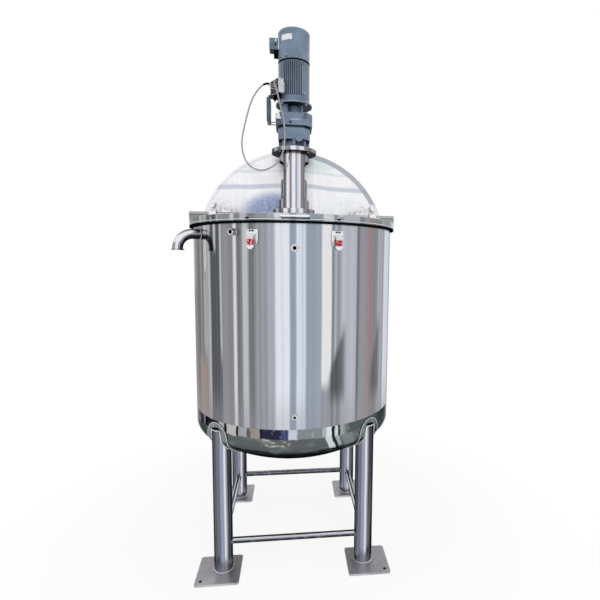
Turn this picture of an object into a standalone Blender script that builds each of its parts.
"""Mixing tank: a jacketed round vessel on four legs, with an upright stirring drive on a bridge.

Metres, +Z up, the tank's axis on Z, the floor at z = 0, the front towards -Y.
"""
import bpy
import bmesh
from math import pi, sin, cos, radians, degrees, sqrt
from mathutils import Matrix, Vector

GAP = 0.0003            # between pieces that touch
OVER = 0.020            # how far a cutter runs past the face it cuts
SINK = 0.002            # how far a joined shape reaches into the one that carries it
ROUND = 60              # sides of the large rings
MIDDLE = 48             # sides of the drive's rounds
FINE = 24               # sides of tubes and small rounds
SMALL = 12              # sides of pins and bars

# vessel
BODY_R = 0.600
WALL = 0.050            # wall, filling and jacket together
TANGENT_Z = 0.800       # lower end of the bottom's straight edge
EDGE_H = 0.083          # straight edge, polished like the bottom
SEAM_Z = TANGENT_Z + EDGE_H
WALL_H = 1.060
WALL_TOP_Z = SEAM_Z + WALL_H
KNUCKLE_R = 0.080
INNER_KNUCKLE_R = 0.050
DISH_DEPTH = 0.248
WALL_SPLITS = 6
WALL_START = 20.0       # degrees from the front to the first split

# shaft
SHAFT_R = 0.0225
SHAFT_SLACK = 0.0006    # between the shaft and what it runs in

# rim, lids and bridge
RIM_LIP = 0.021         # rim, lids and bridge reach past the wall by this
RIM_R = BODY_R + RIM_LIP
MOUTH_LEDGE = 0.005
MOUTH_R = BODY_R - WALL - MOUTH_LEDGE
RIM_T = 0.014
RIM_Z1 = WALL_TOP_Z + RIM_T
LID_H = 0.034
LID_Z1 = RIM_Z1 + LID_H
LID_T = 0.004
LID_ROUND = 0.006
LID_EDGE_LIFT = 0.009   # the straight edge stops short of the rim, to swing clear
BRIDGE_HALF = 0.150
BRIDGE_H = 0.078
BRIDGE_Z1 = RIM_Z1 + BRIDGE_H
BRIDGE_T = 0.008
BRIDGE_ROUND = 0.003
BRIDGE_HOLE_SLACK = 0.0275
LID_GAP = 0.005         # between the bridge and the lids' straight edges
LID_EDGE_Y = BRIDGE_HALF + LID_GAP

# lid hinges, which carry the stops the open lids lean on
HINGE_OUT = 0.015       # hinge line in front of the bridge's edge
HINGE_Y = BRIDGE_HALF + HINGE_OUT
HINGE_INSET = 0.130     # from the rim to the hinge's middle, along the hinge line
HINGE_X = sqrt(RIM_R ** 2 - HINGE_Y ** 2) - HINGE_INSET
HINGE_DROP = 0.025      # hinge line below the bridge's top
HINGE_Z = BRIDGE_Z1 - HINGE_DROP
HINGE_BAR = 0.012
HINGE_PIN_R = 0.006
HINGE_HALF = 0.020
EAR_T = 0.020
EAR_SLACK = 0.001
PIN_SLACK = 0.0004
STOP_T = 0.012
STOP_BACK = 0.025       # stop's face behind the hinge line
STOP_Y1 = HINGE_Y - STOP_BACK
STOP_Y0 = STOP_Y1 - STOP_T
STOP_H = 0.065
STOP_Z1 = BRIDGE_Z1 + STOP_H
STOP_TOP_R = 0.027
STOP_FOOT_HALF = 0.046
BUFFER_R = 0.0165
BUFFER_Z = STOP_Z1 - STOP_TOP_R
BUFFER_SLACK = 0.0006
LOOP_IN = 0.064         # arched loop beside each stop, from the stop's middle
LOOP_R = 0.033
LOOP_BAR = 0.011
LOOP_T = 0.010
LOOP_H = 0.062
LEAN = 93.0             # degrees a lid swings from shut to its stop

# legs
LEG_INSET = 0.033       # leg's axis inside the wall's face
LEG_XY = (BODY_R - LEG_INSET) / sqrt(2.0)
LEG_R = 0.0525
LEG_RISE = 0.035
LEG_TOP_Z = TANGENT_Z + LEG_RISE
PAD_T = 0.005
PAD_HALF = 0.085
PAD_DROP = 0.140
PAD_RISE = 0.072
PAD_Z0 = TANGENT_Z - PAD_DROP
PAD_Z1 = TANGENT_Z + PAD_RISE
FOOT_HALF = 0.1185
FOOT_T = 0.012
FOOT_OUT = 0.021
FOOT_CORNER = 0.012
FOOT_HOLE_OUT = 0.089   # from the plate's middle to its anchor hole
FOOT_HOLE_XY = LEG_XY + FOOT_OUT + FOOT_HOLE_OUT
FOOT_HOLE_R = 0.009
BRACE_Z = 0.169
BRACE_R = 0.0175

# lantern between the bridge and the drive
LANTERN_R = 0.091
LANTERN_T = 0.006
BASE_LIP = 0.037
SEAT_R = LANTERN_R + BASE_LIP
SEAT_T = 0.015
SEAT_Z1 = BRIDGE_Z1 + SEAT_T
BASE_T = 0.020
BASE_Z1 = SEAT_Z1 + BASE_T
LANTERN_H = 0.338
HEAD_LIP = 0.045
HEAD_R = LANTERN_R + HEAD_LIP
HEAD_T = 0.022
HEAD_Z0 = BASE_Z1 + LANTERN_H
HEAD_Z1 = HEAD_Z0 + HEAD_T
WINDOW_SILL = 0.058
WINDOW_DROP = 0.049
WINDOW_Z0 = BASE_Z1 + WINDOW_SILL
WINDOW_Z1 = HEAD_Z0 - WINDOW_DROP
WINDOW_HALF = 0.0655
WINDOW_CORNER = 0.022
SEAL_R = 0.062
SEAL_H = 0.052
SEAL_Z1 = BASE_Z1 + SEAL_H
COUPLING_SLACK = 0.006
COUPLING_R = LANTERN_R - LANTERN_T - COUPLING_SLACK
COUPLING_RISE = 0.015
COUPLING_H = 0.122
COUPLING_Z0 = SEAL_Z1 + COUPLING_RISE
COUPLING_Z1 = COUPLING_Z0 + COUPLING_H
COUPLING_SLOPE = 0.010

# gear unit
SOCKET_DEPTH = 0.040
SOLE_R = 0.097
SOLE_T = 0.012
SOLE_Z1 = HEAD_Z1 + SOLE_T
ARCH_H = 0.036
ARCH_Z1 = SOLE_Z1 + ARCH_H
ARCH_DEPTH = 0.031      # arches between the ribs reach this far in
RIB_T = 0.016
RIB_INSET = 0.004
LOWER_HALF = 0.095
LOWER_H = 0.068
LOWER_Z1 = ARCH_Z1 + LOWER_H
GROOVE_H = 0.006        # groove between the two housings
GROOVE_DEPTH = 0.006
JOINT_Z1 = LOWER_Z1 + GROOVE_H
UPPER_LIP = 0.014
UPPER_HALF = LOWER_HALF + UPPER_LIP
UPPER_H = 0.078
UPPER_Z1 = JOINT_Z1 + UPPER_H
HOUSING_CORNER = 0.036
HOUSING_ROUND = 0.008
NECK_R = 0.036
NECK_H = 0.058
NECK_Z1 = UPPER_Z1 + NECK_H
BOSS_R = 0.020
BOSS_AT = (-0.055, -0.040)
STUD_R = 0.006
STUD_XY = 0.046

# motor
MOTOR_R = 0.094
FLANGE_LIP = 0.015
FLANGE_R = MOTOR_R + FLANGE_LIP
FLANGE_T = 0.015
FLANGE_Z1 = NECK_Z1 + FLANGE_T
FLANGE_SLOPE = 0.005
BELL_H = 0.029
BELL_Z1 = FLANGE_Z1 + BELL_H
FIN_DEPTH = 0.013
FIN_ROOT_R = MOTOR_R - FIN_DEPTH
FIN_STEP = 8.0          # degrees from fin to fin
FIN_WIDE = 4.4          # degrees of fin in each step
FIN_FROM = -28.0        # degrees where the fins start, in front and again at the back
FIN_COUNT = 9
FIN_H = 0.196
FIN_Z1 = BELL_Z1 + FIN_H
THROAT_H = 0.010
THROAT_DEPTH = 0.012
COWL_LIP = 0.0015
COWL_R = MOTOR_R + COWL_LIP
COWL_Z0 = FIN_Z1 + THROAT_H
COWL_H = 0.177
COWL_Z1 = COWL_Z0 + COWL_H
COWL_ROUND = 0.014
SENSOR_OUT = 0.0505
SENSOR_HALF = 0.034
SENSOR_RISE = 0.066
SENSOR_H = 0.066
SENSOR_Z0 = COWL_Z0 + SENSOR_RISE
SENSOR_Z1 = SENSOR_Z0 + SENSOR_H
EDGE_ROUND = 0.004      # rounded edges of the small housings

# terminal box on the motor
BOX_DEG = 57.0          # faces this far round from the front to the left
BOX_BACK = 0.006        # gap behind the box, bridged by its pedestal
BOX_DEEP = 0.038
BOX_BACK_R = MOTOR_R + BOX_BACK
BOX_R = BOX_BACK_R + BOX_DEEP
BOX_HALF = 0.048
BOX_RISE = 0.003
BOX_H = 0.083
BOX_Z0 = BELL_Z1 + BOX_RISE
BOX_Z1 = BOX_Z0 + BOX_H
BOX_T = 0.004
PEDESTAL_HALF = 0.034
PEDESTAL_INSET = 0.014
BOARD_HALF = 0.034
BOARD_T = 0.012
COVER_T = 0.024
COVER_LONG = 0.108
COVER_H = 0.139
COVER_DROP = 0.013
COVER_Z1 = BOX_Z0 - COVER_DROP
COVER_Z0 = COVER_Z1 - COVER_H
TAB_DEG = 68.0          # strap from the cover to the box's underside
TAB_IN = 0.006
TAB_HALF = 0.008
TAB_REACH = 0.028
TAB_X, TAB_Y = (f(radians(TAB_DEG)) * (TAB_IN - BOX_R) for f in (sin, cos))
COVER_X = TAB_X - TAB_REACH
TIE_R = 0.0025
TIE_OUT = 0.0012
TIE_Y = -0.020

# stirrer
SHAFT_LOW = 0.100       # shaft's end below the bottom's straight edge
SHAFT_Z0 = TANGENT_Z - SHAFT_LOW
HUB_R = 0.040
HUB_RISE = 0.030
HUB_H = 0.060
HUB_Z0 = SHAFT_Z0 + HUB_RISE
HUB_Z1 = HUB_Z0 + HUB_H
BLADE_REACH = 0.200
BLADE_WIDE = 0.056
BLADE_T = 0.006
BLADE_PITCH = 45.0

# inlet elbow and bottom outlet
ELBOW_DEG = 59.0
ELBOW_DROP = 0.048      # pipe's axis below the wall's top
ELBOW_Z = WALL_TOP_Z - ELBOW_DROP
ELBOW_OUT = 0.120       # from the wall to the down-leg's axis
ELBOW_BEND = 0.080
ELBOW_LONG = 0.088
ELBOW_END_Z = ELBOW_Z - ELBOW_LONG
PIPE_BORE = 0.0245
PIPE_T = 0.0025
PIPE_R = PIPE_BORE + PIPE_T
FERRULE_LIP = 0.007
FERRULE_R = PIPE_R + FERRULE_LIP
FERRULE_T = 0.0065
FERRULE_NECK = 0.004
OUTLET_LONG = 0.067
OUTLET_END_Z = TANGENT_Z - DISH_DEPTH - OUTLET_LONG

# sockets in the wall: name, degrees, height, outer radius, bore radius, length
SOCKET_FLOOR = 0.002
SOCKETS = (
    ("upper_socket", 0.0, WALL_TOP_Z - 0.123, 0.019, 0.010, 0.014),
    ("lower_socket", 0.0, SEAM_Z + 0.069, 0.015, 0.007, 0.012),
    ("side_nozzle", 30.5, WALL_TOP_Z - 0.045, 0.017, 0.011, 0.032),
)

# latches: name, degrees from the front, side of the strap
LATCHES = (("fl", 20.5, 1), ("fr", -21.0, -1), ("rl", 159.0, -1), ("rr", -159.0, 1))
LATCH_DROP = 0.033      # plate's top below the wall's top
LATCH_H = 0.098
LATCH_Z1 = WALL_TOP_Z - LATCH_DROP
LATCH_Z0 = LATCH_Z1 - LATCH_H
LATCH_HALF = 0.032
LATCH_SPLIT = 0.011     # where the plate ends and the shorter strap starts
LATCH_T = 0.005
LATCH_BACK = BODY_R + 2 * GAP + LATCH_T
STRAP_H = 0.060
RING_R = 0.009
RING_BORE = 0.004
RING_OUT = 0.004
LEVER_U = -0.0034       # lever's middle, counted towards the strap
LEVER_HALF = 0.016
LEVER_GAP = 0.0055      # between the plate and the shut lever
LEVER_T = 0.010
LEVER_R0 = LATCH_BACK + LEVER_GAP
LEVER_R1 = LEVER_R0 + LEVER_T
LEVER_PIVOT_R = LEVER_R0 + LEVER_T / 2
PIVOT_DROP = 0.028
LEVER_PIVOT_Z = LATCH_Z1 - PIVOT_DROP
LEVER_RISE = 0.007
FORK_DROP = 0.020       # from the pivot down to the fork between the two grips
LEVER_DROP = 0.049
FORK_HALF = 0.004
GRIP_OUT = 0.006
GRIP_INSET = 0.0005
LATCH_PIN_R = 0.0025
LATCH_EAR_T = 0.004
LATCH_EAR_HALF = 0.007

# handles on the lids
HANDLE_HALF = 0.070
HANDLE_OUT = 0.024
HANDLE_R = 0.006
HANDLE_DROP = 0.017
HANDLE_Z = LID_Z1 - HANDLE_DROP

# motor cable, a hanging loop that starts and ends in the terminal box
CABLE_R = 0.0045
CABLE_STEP = 0.024
CABLE_ROUTE = (
    (-0.1049, -0.0533, 2.791), (-0.1264, -0.0678, 2.791), (-0.156, -0.079, 2.790), (-0.186, -0.085, 2.775),
    (-0.221, -0.085, 2.735), (-0.248, -0.085, 2.685), (-0.269, -0.085, 2.622), (-0.288, -0.085, 2.548),
    (-0.301, -0.085, 2.490), (-0.306, -0.085, 2.433), (-0.297, -0.085, 2.376), (-0.273, -0.090, 2.327),
    (-0.236, -0.095, 2.298), (-0.189, -0.100, 2.289), (-0.148, -0.105, 2.300), (-0.109, -0.113, 2.323),
    (-0.081, -0.124, 2.356), (-0.063, -0.138, 2.398), (-0.055, -0.138, 2.456), (-0.055, -0.126, 2.519),
    (-0.063, -0.124, 2.587), (-0.076, -0.122, 2.643), (-0.089, -0.121, 2.694), (-0.099, -0.119, 2.738),
    (-0.113, -0.112, 2.780), (-0.119, -0.098, 2.803), (-0.1078, -0.0890, 2.803), (-0.0890, -0.0775, 2.803),
)

STEEL = ("brushed_steel", (0.62, 0.63, 0.64), 0.32, 1.0)
POLISHED = ("polished_steel", (0.70, 0.71, 0.72), 0.10, 1.0)
PAINT = ("blue_grey_paint", (0.20, 0.25, 0.32), 0.38, 0.0)
ALLOY = ("cast_alloy", (0.72, 0.73, 0.73), 0.42, 1.0)
DARK = ("dark_plastic", (0.03, 0.03, 0.035), 0.50, 0.0)
RED = ("red_grip", (0.45, 0.03, 0.03), 0.45, 0.0)
GREY = ("grey_sheath", (0.42, 0.43, 0.44), 0.55, 0.0)


def clear_scene():
    for ob in list(bpy.data.objects):
        bpy.data.objects.remove(ob, do_unlink=True)


SIDEWAYS = Matrix(((0, 0, 1, 0), (1, 0, 0, 0), (0, 1, 0, 0), (0, 0, 0, 1)))   # outline in y and z


class Shop:
    """Holds the two collections and the materials."""

    def __init__(self):
        self.keep = bpy.data.collections.new("mixing_tank")
        self.tools = bpy.data.collections.new("cutters")
        for group in (self.keep, self.tools):
            bpy.context.scene.collection.children.link(group)
        self.mats = {}

    def mat(self, spec):
        name, colour, rough, metal = spec
        if name not in self.mats:
            mat = bpy.data.materials.new(name)
            mat.use_nodes = True
            shader = mat.node_tree.nodes["Principled BSDF"]
            shader.inputs["Base Color"].default_value = (*colour, 1.0)
            shader.inputs["Roughness"].default_value = rough
            shader.inputs["Metallic"].default_value = metal
            self.mats[name] = mat
        return self.mats[name]

    def add(self, ob, spec):
        if any(step.type == "SCREW" for step in ob.modifiers):
            ob = self.plain(ob)
        self.keep.objects.link(ob)
        ob.data.materials.clear()
        ob.data.materials.append(self.mat(spec))
        return ob

    def cut(self, ob, *cutters, kind="DIFFERENCE"):
        for cutter in cutters:
            self.tools.objects.link(cutter)
            cutter.hide_render = True
            cutter.display_type = "WIRE"
            step = ob.modifiers.new(kind.lower(), "BOOLEAN")
            step.operation = kind
            step.solver = "EXACT"
            step.object = cutter
        return ob

    def join(self, ob, *others):
        return self.cut(ob, *others, kind="UNION")

    def common(self, ob, *others):
        return self.cut(ob, *others, kind="INTERSECT")

    def plain(self, ob):
        """Turns a curve, or an object with modifiers, into a closed mesh object."""
        self.tools.objects.link(ob)
        bpy.context.view_layer.update()
        graph = bpy.context.evaluated_depsgraph_get()
        mesh = bpy.data.meshes.new_from_object(ob.evaluated_get(graph))
        bm = bmesh.new()
        bm.from_mesh(mesh)
        bmesh.ops.transform(bm, matrix=ob.matrix_world, verts=bm.verts)
        bmesh.ops.remove_doubles(bm, verts=bm.verts, dist=0.00002)
        bmesh.ops.recalc_face_normals(bm, faces=bm.faces)
        bm.to_mesh(mesh)
        bm.free()
        name = ob.name
        bpy.data.objects.remove(ob, do_unlink=True)
        return bpy.data.objects.new(name, mesh)

    def hang(self, ob, pivot, turn=0.0):
        """Gives an object its joint's origin, turned about X there."""
        ob = self.plain(ob)
        ob.data.transform(Matrix.Translation([-c for c in pivot]))
        ob.location = pivot
        ob.rotation_euler = (radians(turn), 0.0, 0.0)
        return ob


def mesh_object(name, bm, move=None):
    if move is not None:
        bmesh.ops.transform(bm, matrix=move, verts=bm.verts)
    bmesh.ops.recalc_face_normals(bm, faces=bm.faces)
    mesh = bpy.data.meshes.new(name)
    bm.to_mesh(mesh)
    bm.free()
    return bpy.data.objects.new(name, mesh)


def box(name, low, high, move=None):
    bm = bmesh.new()
    bmesh.ops.create_cube(bm, size=1.0)
    bmesh.ops.scale(bm, vec=[b - a for a, b in zip(low, high)], verts=bm.verts)
    bmesh.ops.translate(bm, vec=[(a + b) / 2 for a, b in zip(low, high)], verts=bm.verts)
    return mesh_object(name, bm, move)


def rod(name, radius, start, end, sides=FINE, move=None):
    """Round bar between two points."""
    start, end = Vector(start), Vector(end)
    bm = bmesh.new()
    bmesh.ops.create_cone(bm, cap_ends=True, segments=sides, radius1=radius, radius2=radius,
                          depth=(end - start).length)
    turn = Vector((0, 0, 1)).rotation_difference(end - start).to_matrix().to_4x4()
    bmesh.ops.transform(bm, matrix=Matrix.Translation((start + end) / 2) @ turn, verts=bm.verts)
    return mesh_object(name, bm, move)


def post(name, radius, low, high, at=(0.0, 0.0), sides=FINE):
    return rod(name, radius, (*at, low), (*at, high), sides)


def prism(name, outline, low, high, move=None):
    """Upright solid with a plan outline."""
    bm = bmesh.new()
    face = bm.faces.new([bm.verts.new((x, y, low)) for x, y in outline])
    grown = bmesh.ops.extrude_face_region(bm, geom=[face])
    moved = [v for v in grown["geom"] if isinstance(v, bmesh.types.BMVert)]
    bmesh.ops.translate(bm, vec=(0, 0, high - low), verts=moved)
    return mesh_object(name, bm, move)


def turned(name, profile, sides=ROUND, move=None):
    """Solid of revolution; the (radius, height) profile starts and ends on the axis or closes."""
    bm = bmesh.new()
    verts = [bm.verts.new((r, 0.0, z)) for r, z in profile]
    pairs = list(zip(verts, verts[1:]))
    if profile[0][0] > 0.0:
        pairs.append((verts[-1], verts[0]))
    for pair in pairs:
        bm.edges.new(pair)
    mesh = bpy.data.meshes.new(name)
    bm.to_mesh(mesh)
    bm.free()
    ob = bpy.data.objects.new(name, mesh)
    screw = ob.modifiers.new("turn", "SCREW")
    screw.steps = sides
    screw.render_steps = sides
    screw.use_merge_vertices = True
    screw.merge_threshold = 0.0001
    screw.use_normal_calculate = True
    if move is not None:
        ob.matrix_world = move
    return ob


def ring(name, outer, inner, low, high, sides=ROUND):
    return turned(name, [(inner, high), (outer, high), (outer, low), (inner, low)], sides)


def bent_bar(name, points, radius, resolution=5):
    """Round bar or pipe along set points, with filled ends."""
    data = bpy.data.curves.new(name, "CURVE")
    data.dimensions = "3D"
    line = data.splines.new("POLY")
    line.points.add(len(points) - 1)
    for spot, at in zip(line.points, points):
        spot.co = (*at, 1.0)
    data.bevel_depth = radius
    data.bevel_resolution = resolution
    data.use_fill_caps = True
    return bpy.data.objects.new(name, data)


def soften(ob, width, segments=2, angle=40.0):
    step = ob.modifiers.new("edge", "BEVEL")
    step.width = width
    step.segments = segments
    step.limit_method = "ANGLE"
    step.angle_limit = radians(angle)
    return ob


def about_axis(deg):
    """Turns something built at the front round to an angle towards the left."""
    return Matrix.Rotation(-radians(deg), 4, "Z")


def plan(deg, radius):
    return (-radius * sin(radians(deg)), -radius * cos(radians(deg)))


def arc(radius, start, end, steps):
    return [plan(start + (end - start) * i / steps, radius) for i in range(steps + 1)]


def rounded_square(half, corner, steps=3, centre=(0.0, 0.0)):
    points = []
    for quarter in range(4):
        for i in range(steps + 1):
            t = radians(90.0 * quarter + 90.0 * i / steps)
            sx = 1 if quarter in (0, 3) else -1
            sy = 1 if quarter in (0, 1) else -1
            x = sx * (half - corner) + corner * cos(t)
            y = sy * (half - corner) + corner * sin(t)
            points.append((centre[0] + x, centre[1] + y))
    return points


def chamfered_square(half, corner):
    return rounded_square(half, corner, 1)


def rounded_path(corners, bend, steps=6):
    """Path through corner points, each inner corner rounded to a bend radius."""
    corners = [Vector(c) for c in corners]
    path = [corners[0]]
    for before, at, after in zip(corners, corners[1:], corners[2:]):
        u, v = (before - at).normalized(), (after - at).normalized()
        half = u.angle(v) / 2
        centre = at + (u + v).normalized() * (bend / sin(half))
        reach = bend / (sin(half) / cos(half))
        start, end = at + u * reach - centre, at + v * reach - centre
        sweep = start.angle(end)
        for i in range(steps + 1):
            t = i / steps
            path.append(centre + (start * sin((1 - t) * sweep) + end * sin(t * sweep)) / sin(sweep))
    path.append(corners[-1])
    return [tuple(p) for p in path]


def dish_line(radius, knuckle, depth, steps=3):
    """Knuckle and crown of a dished end below height 0, from the rim to the axis."""
    reach = radius - knuckle
    crown = (reach ** 2 + depth ** 2 - knuckle ** 2) / (2 * (depth - knuckle))
    turn = Vector((reach, crown - depth)).angle(Vector((1.0, 0.0)))
    bends = [turn * i / steps for i in range(steps)]
    points = [(reach + knuckle * cos(t), -knuckle * sin(t)) for t in bends]
    for i in range(steps + 1):
        t = turn + (pi / 2 - turn) * i / steps
        points.append((crown * cos(t), crown - depth - crown * sin(t)))
    points[-1] = (0.0, -depth)
    return points


def dish_face(offset):
    """Outer face of the bottom, moved outwards by an offset."""
    line = dish_line(BODY_R + offset, KNUCKLE_R + offset, DISH_DEPTH + offset)
    return [(r, TANGENT_Z + z) for r, z in line]


def bottom_dish(shop):
    inner = [(r, TANGENT_Z + z) for r, z in dish_line(BODY_R - WALL, INNER_KNUCKLE_R, DISH_DEPTH - WALL)]
    profile = inner[::-1] + [(BODY_R - WALL, SEAM_Z), (BODY_R, SEAM_Z)] + dish_face(0.0)
    ob = shop.plain(turned("bottom_dish", profile))
    shop.cut(ob, post("drain", PIPE_BORE, TANGENT_Z - DISH_DEPTH - OVER, TANGENT_Z))
    shop.add(ob, POLISHED)


def bottom_outlet(shop):
    """Short stub with a ferrule under the lowest point, cut to seat on the dish."""
    seat = TANGENT_Z - DISH_DEPTH + OVER
    lip = OUTLET_END_Z + FERRULE_T
    profile = [(PIPE_BORE, seat), (PIPE_R, seat), (PIPE_R, lip + FERRULE_NECK), (FERRULE_R, lip),
               (FERRULE_R, OUTLET_END_Z), (PIPE_BORE, OUTLET_END_Z)]
    ob = shop.plain(turned("bottom_outlet", profile, FINE))
    shop.cut(ob, dish_solid("outlet_cut", GAP))
    shop.add(ob, POLISHED)


def dish_solid(name, offset):
    top = SEAM_Z + 2 * WALL
    return turned(name, [(0.0, top), (BODY_R + offset, top)] + dish_face(offset))


def wall_segments(shop):
    span = 360.0 / WALL_SPLITS
    slit = degrees(GAP / BODY_R) / 2
    elbow = plan(ELBOW_DEG, 1.0)
    for i in range(WALL_SPLITS):
        start, end = WALL_START + i * span + slit, WALL_START + (i + 1) * span - slit
        outline = arc(BODY_R, start, end, 16) + arc(BODY_R - WALL, end, start, 16)
        ob = prism("wall_%d" % (i + 1), outline, SEAM_Z + GAP, WALL_TOP_Z)
        if start < ELBOW_DEG < end:
            low, high = BODY_R - 2 * WALL, BODY_R + WALL
            hole = rod("elbow_hole", PIPE_R + GAP, (elbow[0] * low, elbow[1] * low, ELBOW_Z),
                       (elbow[0] * high, elbow[1] * high, ELBOW_Z))
            shop.cut(ob, hole)
        shop.add(ob, STEEL)


def rim_ring(shop):
    shop.add(ring("rim_ring", RIM_R, MOUTH_R, WALL_TOP_Z + GAP, RIM_Z1), STEEL)


def half_moon(radius, edge, steps=24):
    """Circle segment in front of a straight edge."""
    turn = Vector((sqrt(radius ** 2 - edge ** 2), edge)).angle(Vector((1.0, 0.0)))
    spread = [turn + (pi - 2 * turn) * i / steps for i in range(steps + 1)]
    return [(radius * cos(t), -radius * sin(t)) for t in spread]


def strip(radius, half, steps=8):
    """Circle cut off by two edges at +half and -half in y."""
    turn = Vector((sqrt(radius ** 2 - half ** 2), half)).angle(Vector((1.0, 0.0)))
    spread = [-turn + 2 * turn * i / steps for i in range(steps + 1)]
    right = [(radius * cos(t), radius * sin(t)) for t in spread]
    return right + [(-x, -y) for x, y in right]


def bridge(shop):
    """Channel with its open side down across the mouth, its ends following the rim."""
    low = RIM_Z1 + GAP
    ob = soften(prism("bridge", strip(RIM_R, BRIDGE_HALF), low, BRIDGE_Z1), BRIDGE_ROUND)
    hollow = prism("bridge_hollow", strip(RIM_R - BRIDGE_T, BRIDGE_HALF - BRIDGE_T), low - OVER,
                   BRIDGE_Z1 - BRIDGE_T)
    shop.cut(ob, hollow, post("bridge_hole", SHAFT_R + BRIDGE_HOLE_SLACK, low, BRIDGE_Z1 + OVER))
    shop.add(ob, STEEL)


def lid_parts(name):
    """A shut front lid with its hinge ears, and its handle."""
    low = RIM_Z1 + GAP
    lid = soften(prism(name, half_moon(RIM_R, LID_EDGE_Y), low, LID_Z1), LID_ROUND)
    hollow = prism(name + "_hollow", half_moon(RIM_R - LID_T, LID_EDGE_Y + LID_T), low - OVER,
                   LID_Z1 - LID_T)
    relief = box(name + "_relief", (-BODY_R, -LID_EDGE_Y - 4 * LID_T, low - OVER),
                 (BODY_R, OVER - LID_EDGE_Y, low + LID_EDGE_LIFT))
    ears = []
    for side in (-1, 1):
        for inward in (-1, 1):
            near = HINGE_X + inward * (HINGE_HALF + EAR_SLACK)
            far = near + inward * EAR_T
            x0, x1 = sorted((side * near, side * far))
            ears.append((x0, x1))
    return lid, hollow, relief, ears


def lid(shop, name, mirror, turn):
    """Half-moon lid with hinge ears, built shut in front and mirrored for the back."""
    flip = Matrix.Rotation(pi, 4, "Z") if mirror else Matrix.Identity(4)
    body, hollow, relief, ears = lid_parts(name)
    body = shop.plain(shop.cut(body, hollow, relief))
    for i, (x0, x1) in enumerate(ears):
        web = box("%s_web_%d" % (name, i), (x0, -HINGE_Y - HINGE_BAR, LID_Z1 - LID_T / 2),
                  (x1, -HINGE_Y + HINGE_BAR / 2, HINGE_Z))
        eye = rod("%s_eye_%d" % (name, i), HINGE_BAR, (x0, -HINGE_Y, HINGE_Z), (x1, -HINGE_Y, HINGE_Z),
                  SMALL)
        shop.join(body, web, eye)
    for side in (-1, 1):
        reach = HINGE_HALF + 2 * EAR_T
        ends = [(side * HINGE_X + step, -HINGE_Y, HINGE_Z) for step in (-reach, reach)]
        bore = rod("%s_bore_%d" % (name, side), HINGE_PIN_R + PIN_SLACK, *ends, SMALL)
        shop.cut(body, bore)
    shop.join(body, shop.plain(lid_handle(name + "_handle")))
    body = shop.plain(body)
    body.data.transform(flip)
    pivot = flip @ Vector((0.0, -HINGE_Y, HINGE_Z))
    shop.add(shop.hang(body, pivot, turn), STEEL)


def lid_handle(name):
    reach = sqrt(RIM_R ** 2 - HANDLE_HALF ** 2) - LID_T / 2
    out = RIM_R + HANDLE_OUT
    corners = [(-HANDLE_HALF, -reach, HANDLE_Z), (-HANDLE_HALF, -out, HANDLE_Z),
               (HANDLE_HALF, -out, HANDLE_Z), (HANDLE_HALF, -reach, HANDLE_Z)]
    return bent_bar(name, rounded_path(corners, 2 * HANDLE_R, 4), HANDLE_R, 2)


def hinge_bracket(shop, name, side, mirror):
    """Seat over the bridge's edge with the hinge pin, the stop with its buffer, and a loop beside it."""
    mid = side * HINGE_X
    seat_z = BRIDGE_Z1 + GAP
    edge = BRIDGE_HALF + GAP
    front = HINGE_Y + HINGE_BAR
    low = HINGE_Z - HINGE_BAR
    back = STOP_Y0 + GAP
    outline = [(-back, seat_z), (-back, seat_z + HINGE_BAR), (-HINGE_Y, seat_z + HINGE_BAR),
               (-front, HINGE_Z + HINGE_BAR), (-front, HINGE_Z), (-HINGE_Y - HINGE_PIN_R, low), (-edge, low),
               (-edge, seat_z)]
    ob = prism(name, outline, mid - HINGE_HALF, mid + HINGE_HALF, SIDEWAYS)
    pin = rod(name + "_pin", HINGE_PIN_R, (mid - HINGE_HALF - EAR_T, -HINGE_Y, HINGE_Z),
              (mid + HINGE_HALF + EAR_T, -HINGE_Y, HINGE_Z), SMALL)
    tip = -(HINGE_Y + lid_face_at(BUFFER_Z + BUFFER_R) - BUFFER_SLACK)
    buffer = rod(name + "_buffer", BUFFER_R, (mid, -STOP_Y1 + BUFFER_R / 4, BUFFER_Z), (mid, tip, BUFFER_Z))
    loop = stop_loop(shop, name, mid - side * LOOP_IN)
    ob = shop.plain(shop.join(ob, pin, stop_plate(name, mid), loop, buffer))
    if mirror:
        ob.data.transform(Matrix.Rotation(pi, 4, "Z"))
    shop.add(ob, STEEL)


def stop_plate(name, mid):
    """Upright plate with a rounded top and a wider foot."""
    top = BRIDGE_Z1 + STOP_H - STOP_TOP_R
    foot = BRIDGE_Z1 + 2 * GAP
    bends = [radians(t) for t in range(20, 161, 14)]
    outline = [(mid + STOP_TOP_R * cos(t), top + STOP_TOP_R * sin(t)) for t in bends]
    outline += [(mid - STOP_FOOT_HALF, foot), (mid + STOP_FOOT_HALF, foot)]
    return prism(name + "_plate", outline, STOP_Y0, STOP_Y1, Matrix.Rotation(pi / 2, 4, "X"))


def stop_loop(shop, name, mid):
    """Arched loop that stands behind the stop plate's foot."""
    foot = BRIDGE_Z1 + 3 * GAP
    near, far = STOP_Y0 + SINK - LOOP_T, STOP_Y0 + SINK
    upright = Matrix.Rotation(pi / 2, 4, "X")
    top = BRIDGE_Z1 + LOOP_H
    ob = prism(name + "_loop", arched(mid, LOOP_R, foot, top), near, far, upright)
    inside = arched(mid, LOOP_R - LOOP_BAR, foot + LOOP_BAR, top - LOOP_BAR)
    hole = prism(name + "_loop_hole", inside, near - OVER, far + OVER, upright)
    return shop.plain(shop.cut(ob, hole))


def arched(mid, radius, low, high):
    """Outline with a straight foot and a round top."""
    top = high - radius
    points = [(mid + radius * cos(radians(t)), top + radius * sin(radians(t))) for t in range(0, 181, 20)]
    return points + [(mid - radius, low), (mid + radius, low)]


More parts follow.
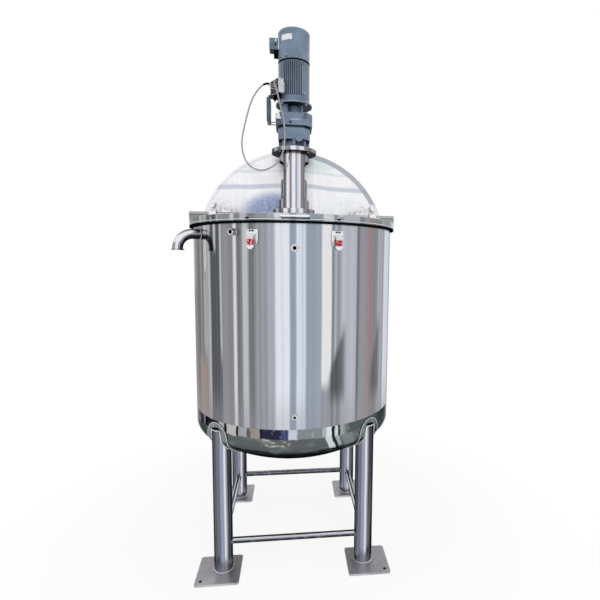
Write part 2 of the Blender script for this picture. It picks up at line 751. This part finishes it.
def lid_face_at(height):
    """How far behind its hinge line an open lid's face stands at a height."""
    drop = HINGE_Z - LID_Z1
    lean = radians(LEAN - 90.0)
    return drop * cos(lean) - (height - HINGE_Z + drop * sin(lean)) * sin(lean) / cos(lean)


def leg(shop, name, sx, sy):
    """Round leg welded to its foot plate, its top cut to the vessel's bottom."""
    ob = post(name, LEG_R, FOOT_T / 2, LEG_TOP_Z, (sx * LEG_XY, sy * LEG_XY))
    shop.cut(ob, dish_solid(name + "_cut", PAD_T + 2 * GAP))
    mid = LEG_XY + FOOT_OUT
    square = rounded_square(FOOT_HALF, FOOT_CORNER, 3, (sx * mid, sy * mid))
    plate = prism(name + "_foot", square, 0.0, FOOT_T)
    shop.join(ob, plate)
    hole = post(name + "_hole", FOOT_HOLE_R, -OVER, FOOT_T + OVER, (sx * FOOT_HOLE_XY, sy * FOOT_HOLE_XY))
    shop.add(shop.cut(ob, hole), STEEL)


def leg_pad(shop, name, deg):
    """Curved plate between a leg and the vessel."""
    low, high = GAP, GAP + PAD_T
    outer = [(BODY_R + high, PAD_Z1 + OVER)] + dish_face(high)[:-3]
    inner = [(BODY_R + low, PAD_Z1 + OVER)] + dish_face(low)[:-3]
    shell = shop.plain(turned(name, outer + inner[::-1]))
    mid_z = PAD_Z1 - PAD_HALF
    outline = [(PAD_HALF * cos(radians(t)), mid_z + PAD_HALF * sin(radians(t))) for t in range(0, 181, 12)]
    outline += [(-PAD_HALF, PAD_Z0), (PAD_HALF, PAD_Z0)]
    upright = about_axis(deg) @ Matrix.Rotation(pi / 2, 4, "X")
    far = BODY_R + WALL
    shop.common(shell, prism(name + "_arch", outline, BODY_R - 4 * WALL, far, upright))
    shop.add(shell, STEEL)


def brace(shop, name, deg):
    half = LEG_XY - LEG_R - 2 * GAP
    bar = rod(name, BRACE_R, (-half, -LEG_XY, BRACE_Z), (half, -LEG_XY, BRACE_Z), FINE, about_axis(deg))
    shop.add(bar, STEEL)


def legs(shop):
    corners = (("fl", -1, -1, 45), ("fr", 1, -1, -45), ("rl", -1, 1, 135), ("rr", 1, 1, -135))
    for tag, sx, sy, deg in corners:
        leg(shop, "leg_" + tag, sx, sy)
        leg_pad(shop, "leg_pad_" + tag, deg)
    for tag, deg in (("front", 0), ("left", 90), ("back", 180), ("right", -90)):
        brace(shop, "brace_" + tag, deg)


def lantern(shop):
    """Windowed stand between the bridge and the gear unit, on a seat with the shaft seal."""
    bore = SHAFT_R + SHAFT_SLACK
    seat = [(bore, SEAL_Z1), (SEAL_R, SEAL_Z1), (SEAL_R, SEAT_Z1), (SEAT_R, SEAT_Z1),
            (SEAT_R, BRIDGE_Z1 + GAP), (bore, BRIDGE_Z1 + GAP)]
    shop.add(turned("lantern_seat", seat, MIDDLE), STEEL)
    bore = LANTERN_R - LANTERN_T
    profile = [(bore, HEAD_Z1), (HEAD_R, HEAD_Z1), (HEAD_R, HEAD_Z0), (LANTERN_R, HEAD_Z0),
               (LANTERN_R, BASE_Z1), (SEAT_R, BASE_Z1), (SEAT_R, SEAT_Z1 + GAP), (bore, SEAT_Z1 + GAP)]
    ob = shop.plain(turned("lantern", profile, MIDDLE))
    window = soften(box("windows", (-2 * LANTERN_R, -WINDOW_HALF, WINDOW_Z0),
                        (2 * LANTERN_R, WINDOW_HALF, WINDOW_Z1)), WINDOW_CORNER, 4)
    shop.add(shop.cut(ob, window), STEEL)


def stirrer(shop):
    """Shaft with the coupling seen in the lantern, and the pitched blades near the bottom."""
    top = HEAD_Z1 + SOCKET_DEPTH - SHAFT_SLACK
    profile = [(0.0, top), (SHAFT_R, top), (SHAFT_R, COUPLING_Z1), (COUPLING_R - COUPLING_SLOPE, COUPLING_Z1),
               (COUPLING_R, COUPLING_Z1 - COUPLING_SLOPE), (COUPLING_R, COUPLING_Z0), (SHAFT_R, COUPLING_Z0),
               (SHAFT_R, SHAFT_Z0), (0.0, SHAFT_Z0)]
    shop.add(turned("shaft", profile, FINE), STEEL)
    bore = SHAFT_R + GAP
    hub = ring("stirrer", HUB_R, bore, HUB_Z0, HUB_Z1, FINE)
    hub = shop.plain(hub)
    middle = (HUB_Z0 + HUB_Z1) / 2
    for i in range(4):
        move = Matrix.Rotation(i * pi / 2, 4, "Z") @ Matrix.Translation((0, 0, middle))
        move = move @ Matrix.Rotation(radians(BLADE_PITCH), 4, "X")
        blade = box("blade_%d" % i, (HUB_R - BLADE_T, -BLADE_WIDE / 2, -BLADE_T / 2),
                    (BLADE_REACH, BLADE_WIDE / 2, BLADE_T / 2), move)
        shop.join(hub, blade)
    shop.add(hub, STEEL)


def gear_unit(shop):
    """Arched foot and lower housing in one casting, and the upper housing with the groove between them."""
    sole = post("gear_lower", SOLE_R, HEAD_Z1 + GAP, SOLE_Z1, sides=MIDDLE)
    core = post("gear_core", SOLE_R - ARCH_DEPTH, SOLE_Z1 - SOLE_T / 2, ARCH_Z1 + SOLE_T / 2)
    lower = prism("gear_case", chamfered_square(LOWER_HALF, HOUSING_CORNER), ARCH_Z1, LOWER_Z1)
    soften(lower, EDGE_ROUND)
    shop.join(sole, core, lower)
    for i in range(4):
        turn = Matrix.Rotation(radians(45.0 * i), 4, "Z")
        rib = box("gear_rib_%d" % i, (RIB_INSET - SOLE_R, -RIB_T / 2, SOLE_Z1 - SOLE_T / 3),
                  (SOLE_R - RIB_INSET, RIB_T / 2, ARCH_Z1 + SOLE_T / 3), turn)
        shop.join(sole, rib)
    shop.cut(sole, post("socket", SHAFT_R + SHAFT_SLACK, HEAD_Z1 - OVER, HEAD_Z1 + SOCKET_DEPTH))
    shop.add(sole, PAINT)
    upper = soften(prism("gear_upper", chamfered_square(UPPER_HALF, HOUSING_CORNER), JOINT_Z1, UPPER_Z1),
                   HOUSING_ROUND, 3)
    tongue = prism("gear_tongue", chamfered_square(LOWER_HALF - GROOVE_DEPTH, HOUSING_CORNER), LOWER_Z1 + GAP,
                   (JOINT_Z1 + UPPER_Z1) / 2)
    shop.add(shop.join(upper, tongue), PAINT)


def motor(shop):
    motor_flange(shop)
    low = FLANGE_Z1 + GAP
    throat, core = MOTOR_R - THROAT_DEPTH, FIN_ROOT_R - RIB_INSET
    profile = [(0.0, COWL_Z0 - GAP), (throat, COWL_Z0 - GAP), (throat, FIN_Z1 - OVER), (core, FIN_Z1 - OVER),
               (core, BELL_Z1 - GAP), (MOTOR_R, BELL_Z1 - GAP), (MOTOR_R, low), (0.0, low)]
    body = shop.plain(turned("motor_body", profile, MIDDLE))
    shop.join(body, prism("motor_fins", fin_outline(), BELL_Z1 - 2 * GAP, FIN_Z1))
    shop.add(body, PAINT)
    cowl = [(0.0, COWL_Z1)]
    for i in range(5):
        t = pi / 2 * (1 - i / 4)
        cowl.append((COWL_R - COWL_ROUND + COWL_ROUND * cos(t), COWL_Z1 - COWL_ROUND + COWL_ROUND * sin(t)))
    cowl += [(COWL_R, COWL_Z0), (0.0, COWL_Z0)]
    shop.add(turned("fan_cowl", cowl, MIDDLE), PAINT)
    sensor = soften(box("sensor_box", (-COWL_R - SENSOR_OUT, -SENSOR_HALF, SENSOR_Z0),
                        (0.0, SENSOR_HALF, SENSOR_Z1)), EDGE_ROUND)
    shop.cut(sensor, post("sensor_cut", COWL_R + GAP, SENSOR_Z0 - OVER, SENSOR_Z1 + OVER, sides=MIDDLE))
    shop.add(sensor, PAINT)


def motor_flange(shop):
    """Flange on a slim neck, with a boss and four studs down to the gear unit."""
    low = UPPER_Z1 + GAP
    profile = [(0.0, FLANGE_Z1), (FLANGE_R - FLANGE_SLOPE, FLANGE_Z1), (FLANGE_R, FLANGE_Z1 - FLANGE_SLOPE),
               (FLANGE_R, NECK_Z1), (NECK_R, NECK_Z1), (NECK_R, low), (0.0, low)]
    flange = shop.plain(turned("motor_flange", profile, MIDDLE))
    shop.join(flange, post("flange_boss", BOSS_R, low + GAP, NECK_Z1 + SINK, BOSS_AT, 16))
    for i, (sx, sy) in enumerate(((1, -1), (1, 1), (-1, 1))):
        shop.join(flange, post("stud_%d" % i, STUD_R, low + 2 * GAP, NECK_Z1 + 2 * SINK,
                               (sx * STUD_XY, sy * STUD_XY), SMALL))
    shop.add(flange, PAINT)


def fin_outline():
    """Plan of the motor's body: fins in front and behind, smooth sides between."""
    half_turn = []
    for i in range(FIN_COUNT):
        start = FIN_FROM + i * FIN_STEP
        for deg, radius in ((0.0, FIN_ROOT_R), (FIN_STEP - FIN_WIDE, FIN_ROOT_R),
                            (FIN_STEP - FIN_WIDE, MOTOR_R), (FIN_STEP, MOTOR_R)):
            half_turn.append((start + deg, radius))
    last = FIN_FROM + FIN_COUNT * FIN_STEP
    smooth = FIN_FROM + 180.0 - last
    half_turn += [(last + smooth * (i + 1) / 10, MOTOR_R) for i in range(10)]
    return [plan(d + extra, r) for extra in (0.0, 180.0) for d, r in half_turn]


def terminal_box(shop):
    """Open box on its pedestal at the motor's side, its board, and its cover hanging below it."""
    turn = about_axis(BOX_DEG)
    ob = box("terminal_box", (-BOX_HALF, -BOX_R, BOX_Z0), (BOX_HALF, -BOX_BACK_R, BOX_Z1))
    soften(ob, EDGE_ROUND)
    floor = BOX_BACK_R + BOX_T
    pocket = box("box_pocket", (BOX_T - BOX_HALF, -BOX_R - OVER, BOX_Z0 + BOX_T),
                 (BOX_HALF - BOX_T, -floor, BOX_Z1 - BOX_T))
    pedestal = box("box_pedestal", (-PEDESTAL_HALF, -BOX_BACK_R - SINK, BOX_Z0 + PEDESTAL_INSET),
                   (PEDESTAL_HALF, 0.0, BOX_Z1 - PEDESTAL_INSET))
    ob = shop.plain(shop.join(shop.cut(ob, pocket), pedestal))
    ob.data.transform(turn)
    shop.cut(ob, post("box_cut", MOTOR_R + GAP, BOX_Z0 - OVER, BOX_Z1 + OVER, sides=MIDDLE))
    shop.add(ob, ALLOY)
    mid = (BOX_Z0 + BOX_Z1) / 2
    board = box("terminal_board", (-BOARD_HALF, -floor - BOARD_T, mid - BOARD_HALF),
                (BOARD_HALF, -floor - GAP, mid + BOARD_HALF), turn)
    shop.add(board, DARK)
    box_cover(shop)


def box_cover(shop):
    """Cover that hangs edge on from a strap, held off the gear unit by a tie."""
    near, far = TIE_Y - COVER_LONG / 2, TIE_Y + COVER_LONG / 2
    cover = soften(box("box_cover", (COVER_X - COVER_T / 2, near, COVER_Z0),
                       (COVER_X + COVER_T / 2, far, COVER_Z1)), COVER_T / 3)
    tab = box("cover_tab", (COVER_X, TAB_Y - TAB_HALF, COVER_Z1 - COVER_T / 4),
              (TAB_X + TAB_HALF / 4, TAB_Y + TAB_HALF, BOX_Z0 - GAP))
    tie = rod("cover_tie", TIE_R, (COVER_X, TIE_Y, COVER_Z0 + COVER_T / 4),
              (-UPPER_HALF - TIE_OUT, TIE_Y, (JOINT_Z1 + UPPER_Z1) / 2), SMALL)
    shop.add(shop.join(cover, tab, tie), PAINT)


def elbow(shop):
    """Inlet pipe through the wall, bent down to an open ferrule."""
    nx, ny = plan(ELBOW_DEG, 1.0)
    out = BODY_R + ELBOW_OUT
    start = BODY_R - WALL
    corners = [(nx * start, ny * start, ELBOW_Z), (nx * out, ny * out, ELBOW_Z),
               (nx * out, ny * out, ELBOW_END_Z)]
    pipe = shop.plain(bent_bar("inlet_elbow", rounded_path(corners, ELBOW_BEND, 7), PIPE_R, 4))
    lip = post("elbow_lip", FERRULE_R, ELBOW_END_Z, ELBOW_END_Z + FERRULE_T, (nx * out, ny * out))
    inner = BODY_R - 2 * WALL
    ends = [(nx * inner, ny * inner, ELBOW_Z), corners[1], (nx * out, ny * out, ELBOW_END_Z - OVER)]
    bore = shop.plain(bent_bar("elbow_bore", rounded_path(ends, ELBOW_BEND, 7), PIPE_BORE, 4))
    shop.join(pipe, lip)
    shop.add(shop.cut(pipe, bore), POLISHED)


def sockets(shop):
    for name, deg, z, outer, bore, length in SOCKETS:
        near = BODY_R + 2 * GAP
        ob = rod(name, outer, (0, -near - length, z), (0, -near, z), FINE, about_axis(deg))
        hole = rod(name + "_bore", bore, (0, -near - length - OVER, z), (0, -near - SOCKET_FLOOR, z), FINE,
                   about_axis(deg))
        shop.add(shop.cut(ob, hole), POLISHED)


def latches(shop):
    """Over-centre latches under the rim; the two in front have a lever of their own."""
    for tag, deg, strap in LATCHES:
        turn = about_axis(deg) @ Matrix.Rotation(pi / 2, 4, "X")
        back = shop.plain(latch_back(shop, tag, strap, turn))
        lever = latch_lever(shop, tag, deg, strap, turn)
        if abs(deg) < 90.0:
            at = turn @ Vector((strap * LEVER_U, LEVER_PIVOT_Z, LEVER_PIVOT_R))
            shop.add(shop.hang(lever, at), RED)
        else:
            shop.join(back, shop.plain(lever))
        shop.add(back, STEEL)


def latch_back(shop, tag, strap, turn):
    """Plate with a round foot, the shorter strap beside it, a ring, and two ears with the pin.

    Drawn as it is seen from outside: across, up, and out from the tank's axis.
    """
    near = BODY_R + 2 * GAP
    foot_r = (LATCH_HALF + LATCH_SPLIT) / 2
    foot_u = (LATCH_SPLIT - LATCH_HALF) / 2
    strap_z = LATCH_Z1 - STRAP_H
    outline = [(-LATCH_HALF, LATCH_Z1), (LATCH_HALF, LATCH_Z1), (LATCH_HALF, strap_z), (LATCH_SPLIT, strap_z)]
    outline += [(foot_u + foot_r * cos(radians(t)), LATCH_Z0 + foot_r - foot_r * sin(radians(t)))
                for t in range(0, 181, 20)]
    back = prism("latch_back_" + tag, [(strap * u, z) for u, z in outline], near, LATCH_BACK, turn)
    inner = LEVER_HALF + EAR_SLACK
    low, high = LEVER_PIVOT_Z - LATCH_EAR_HALF, LEVER_PIVOT_Z + LATCH_EAR_HALF
    for side in (-1, 1):
        u0, u1 = sorted(strap * LEVER_U + side * w for w in (inner, inner + LATCH_EAR_T))
        ear = box("latch_ear_%s_%d" % (tag, side), (u0, low, LATCH_BACK - SINK), (u1, high, LEVER_R1), turn)
        shop.join(back, ear)
    reach = inner + LATCH_EAR_T / 2
    pin = rod("latch_pin_" + tag, LATCH_PIN_R, (strap * LEVER_U - reach, LEVER_PIVOT_Z, LEVER_PIVOT_R),
              (strap * LEVER_U + reach, LEVER_PIVOT_Z, LEVER_PIVOT_R), SMALL, turn)
    at = (strap * (LATCH_SPLIT + LATCH_HALF) / 2, strap_z - RING_R + SINK)
    stud = rod("latch_ring_" + tag, RING_R, (*at, near + GAP), (*at, LATCH_BACK + RING_OUT), SMALL, turn)
    hole = rod("latch_ring_bore_" + tag, RING_BORE, (*at, near - OVER), (*at, LATCH_BACK + OVER), SMALL, turn)
    shop.join(back, pin, stud)
    return shop.cut(back, hole)


def latch_lever(shop, tag, deg, strap, turn):
    """Forked lever that hangs from the pin, with a thick grip on each prong."""
    mid = strap * LEVER_U
    top, fork, end = (LEVER_PIVOT_Z + step for step in (LEVER_RISE, -FORK_DROP, -LEVER_DROP))
    outline = [(-LEVER_HALF, top), (LEVER_HALF, top), (LEVER_HALF, end), (FORK_HALF, end), (FORK_HALF, fork),
               (-FORK_HALF, fork), (-FORK_HALF, end), (-LEVER_HALF, end)]
    lever = prism("latch_lever_" + tag, [(mid + u, z) for u, z in outline], LEVER_R0, LEVER_R1, turn)
    for side in (-1, 1):
        u0, u1 = sorted(mid + side * w for w in (FORK_HALF + GRIP_INSET, LEVER_HALF - GRIP_INSET))
        shop.join(lever, box("latch_grip_%s_%d" % (tag, side), (u0, end + GRIP_INSET, LEVER_R1 - SINK),
                             (u1, fork, LEVER_R1 + GRIP_OUT), turn))
    if abs(deg) > 90.0:
        return lever
    reach = LATCH_HALF + OVER
    bore = rod("lever_bore_" + tag, LATCH_PIN_R + PIN_SLACK, (mid - reach, LEVER_PIVOT_Z, LEVER_PIVOT_R),
               (mid + reach, LEVER_PIVOT_Z, LEVER_PIVOT_R), SMALL, turn)
    return shop.cut(lever, bore)


def smooth_route(points, spacing):
    """Even points on a smooth curve through hand-set points."""
    points = [Vector(p) for p in points]
    padded = [2 * points[0] - points[1]] + points + [2 * points[-1] - points[-2]]
    fine = []
    for a, b, c, d in zip(padded, padded[1:], padded[2:], padded[3:]):
        for i in range(24):
            t = i / 24
            fine.append(0.5 * (2 * b + (c - a) * t + (2 * a - 5 * b + 4 * c - d) * t ** 2
                               + (3 * b - a - 3 * c + d) * t ** 3))
    fine.append(points[-1])
    length = sum((q - p).length for p, q in zip(fine, fine[1:]))
    step = length / round(length / spacing)
    even, walked = [fine[0]], 0.0
    for p, q in zip(fine, fine[1:]):
        walked += (q - p).length
        if walked >= step * len(even):
            even.append(q)
    if (even[-1] - fine[-1]).length > step / 2:
        even.append(fine[-1])
    return [tuple(p) for p in even]


def cable(shop):
    line = bent_bar("motor_cable", smooth_route(CABLE_ROUTE, CABLE_STEP), CABLE_R, 2)
    shop.add(shop.plain(line), GREY)


def build():
    clear_scene()
    shop = Shop()
    wall_segments(shop)
    bottom_dish(shop)
    bottom_outlet(shop)
    rim_ring(shop)
    bridge(shop)
    lid(shop, "front_lid", False, 0.0)
    lid(shop, "rear_lid", True, LEAN)
    for tag, side, mirror in (("fl", -1, False), ("fr", 1, False), ("rl", 1, True), ("rr", -1, True)):
        hinge_bracket(shop, "hinge_" + tag, side, mirror)
    legs(shop)
    lantern(shop)
    stirrer(shop)
    gear_unit(shop)
    motor(shop)
    terminal_box(shop)
    elbow(shop)
    sockets(shop)
    latches(shop)
    cable(shop)


build()
